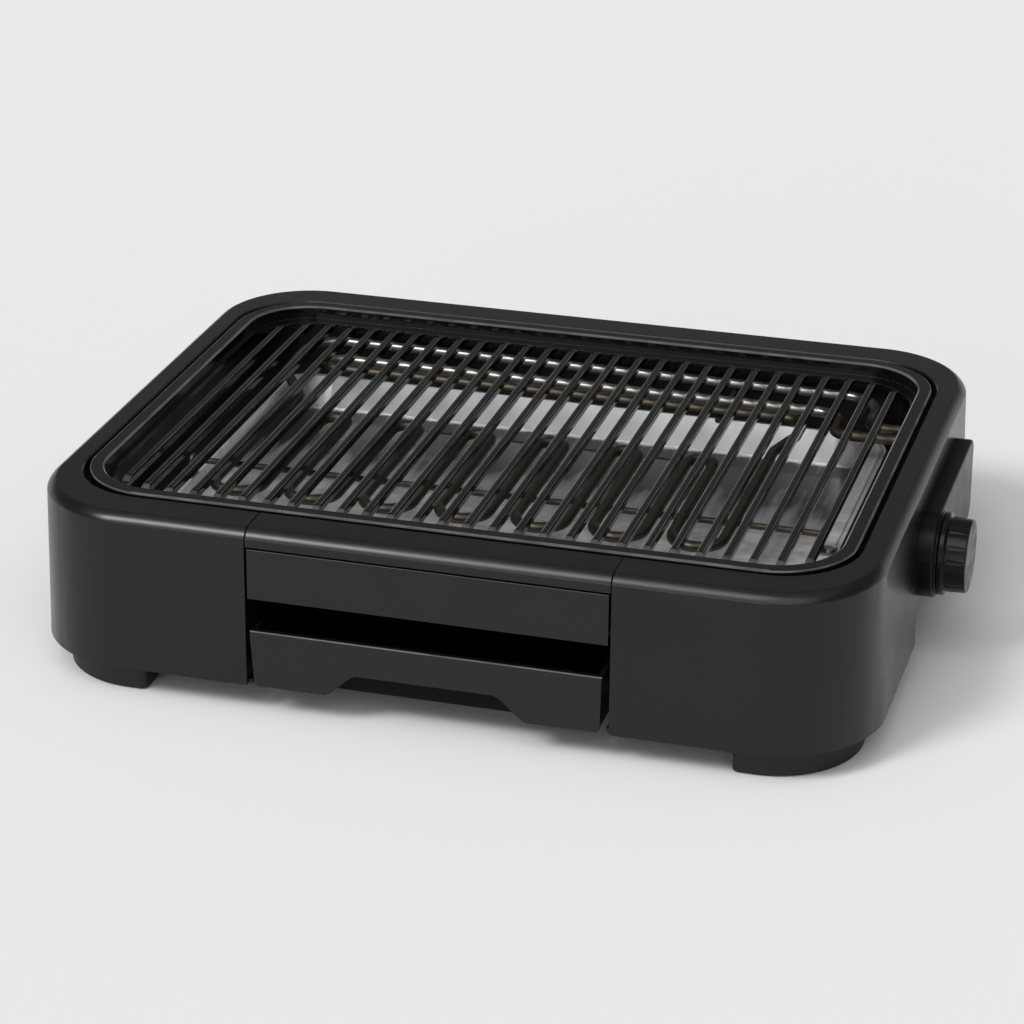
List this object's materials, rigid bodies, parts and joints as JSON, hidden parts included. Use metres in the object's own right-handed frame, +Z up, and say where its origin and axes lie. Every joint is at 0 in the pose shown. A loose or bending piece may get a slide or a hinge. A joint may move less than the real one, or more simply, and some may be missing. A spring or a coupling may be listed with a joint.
{
  "type": "electric indoor grill",
  "caption": "Table-top electric grill: moulded housing, lift-off barred grate over a serpentine heater and reflector, a pull-out drip tray in front and a thermostat knob on the right side.",
  "frame": {"origin": "middle of the overall size in plan, on the plane the rubber pads stand on", "axes": "+X to the right (knob side), +Y to the back, +Z up"},
  "size_m": [0.5106, 0.3822, 0.1125],
  "materials": {
    "moulded_shell": "satin charcoal",
    "moulded_tray": "satin charcoal",
    "moulded_base": "matte black",
    "rubber_pad": "matte",
    "zinc_steel": "plated",
    "black_steel": "heat-proof black",
    "stainless": "bright",
    "heater_sheath": "tempered alloy, bare",
    "ceramic_body": "unglazed",
    "support_wire": "heat tinted",
    "cast_grate": "non-stick coating, semi-gloss",
    "gloss_black": "gloss",
    "knob_plastic": "gloss side, matte face",
    "copper_tube": "drawn",
    "inlet_plastic": "matte",
    "pin_brass": "nickel plated",
    "wire_sleeve": "silicone sleeve",
    "screw_steel": "zinc black"
  },
  "bodies": {
    "base": {"housing": "moulded_shell", "front_bridge": "moulded_shell", "front_panel": "moulded_shell", "base_plate": "moulded_base", "foot_front_left": "moulded_base", "foot_front_right": "moulded_base", "foot_rear_left": "moulded_base", "foot_rear_right": "moulded_base", "foot_pads": "rubber_pad", "tray_runner_left": "zinc_steel", "tray_runner_right": "zinc_steel", "well_liner": "black_steel", "reflector_pan": "stainless", "heating_element": "heater_sheath", "terminal_bushes": "ceramic_body", "terminal_pins": "zinc_steel", "element_rod": "support_wire", "element_rests": "support_wire", "element_brackets": "zinc_steel", "control_pod": "gloss_black", "knob_collar": "gloss_black", "thermostat": "ceramic_body", "thermostat_plate": "zinc_steel", "sensor_bulb": "copper_tube", "thermal_cutout": "ceramic_body", "terminal_block": "ceramic_body", "appliance_inlet": "inlet_plastic", "inlet_pins": "pin_brass", "wiring": "wire_sleeve", "base_screws": "screw_steel", "liner_screws": "screw_steel", "foot_screws": "screw_steel", "inlet_screws": "screw_steel", "panel_screws": "screw_steel", "control_screws": "screw_steel"},
    "grate": {"grill_grate": "cast_grate"},
    "tray": {"drip_tray": "moulded_tray"},
    "knob_body": {"knob": "knob_plastic", "thermostat_spindle": "zinc_steel"}
  },
  "joints": [
    {"name": "grate_lift", "type": "slide", "parent": "base", "child": "grate", "axis": [0, 0, 1], "range_m": [0, 0.06]},
    {"name": "drip_tray_slide", "type": "slide", "parent": "base", "child": "tray", "axis": [0, -1, 0], "range_m": [0, 0.31]},
    {"name": "knob_turn", "type": "hinge", "parent": "base", "child": "knob_body", "pos_m": [0.24245, -0.0094, 0.0662], "axis": [-1, 0, 0], "range_deg": [0, 270]}
  ]
}
